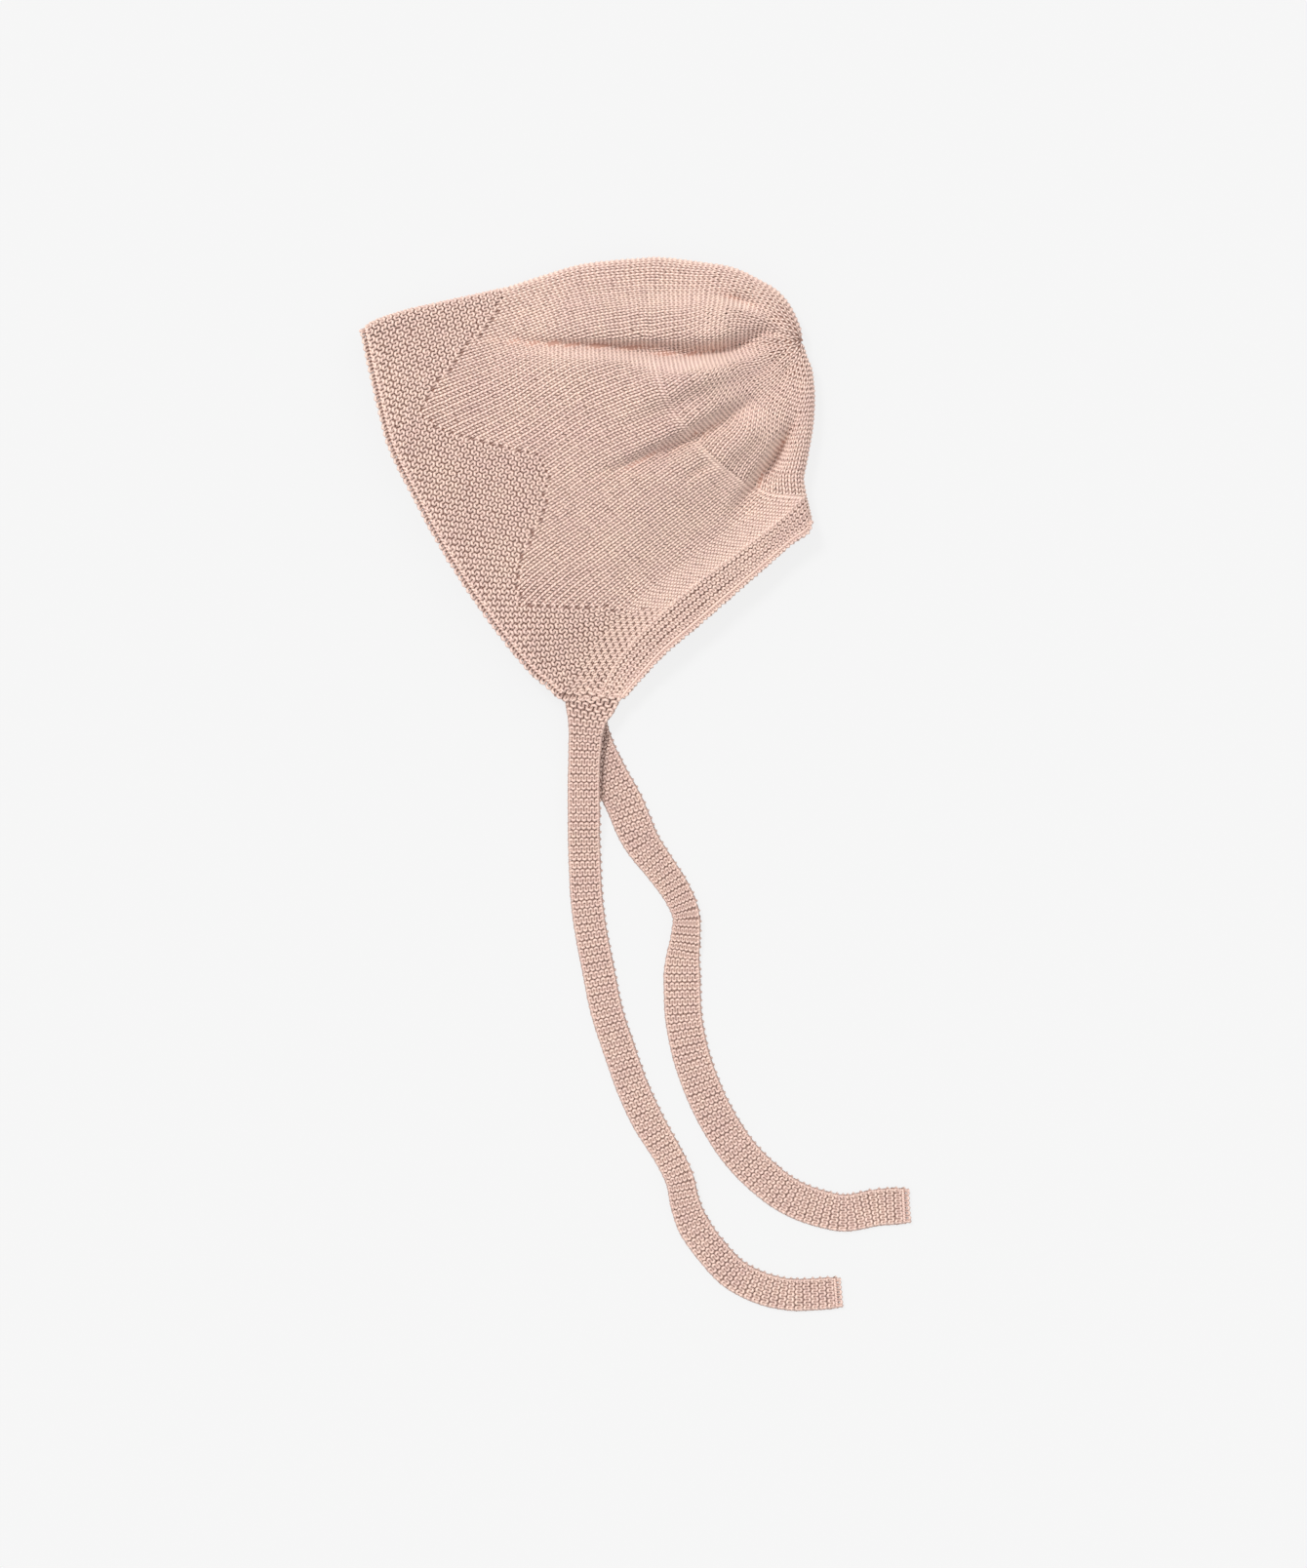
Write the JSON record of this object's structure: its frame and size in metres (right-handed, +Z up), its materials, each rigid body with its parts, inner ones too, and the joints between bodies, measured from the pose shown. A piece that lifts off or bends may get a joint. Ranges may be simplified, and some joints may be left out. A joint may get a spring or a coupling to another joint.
{
  "type": "baby bonnet",
  "caption": "Knitted baby bonnet with garter-stitch face band, ear flaps and long ties, lying on its side folded flat.",
  "frame": {"origin": "on the surface that the bonnet lies on, under the middle of the hood without its ties", "axes": "+Z up from the surface, +Y towards the top of the head, -X towards the face opening"},
  "size_m": [0.1798, 0.3481, 0.0261],
  "materials": {
    "crown_knit": "fine plain knit, dusty pink cotton",
    "garter_knit": "garter stitch, dusty pink cotton",
    "neck_knit": "ridged knit edging, dusty pink cotton",
    "near_tie_knit": "narrow knitted strap, dusty pink cotton",
    "far_tie_knit": "narrow knitted strap, dusty pink cotton"
  },
  "bodies": {
    "root": {"crown": "crown_knit", "face_band": "garter_knit", "neck_band": "neck_knit", "near_tie": "near_tie_knit", "far_tie": "far_tie_knit"}
  },
  "joints": []
}
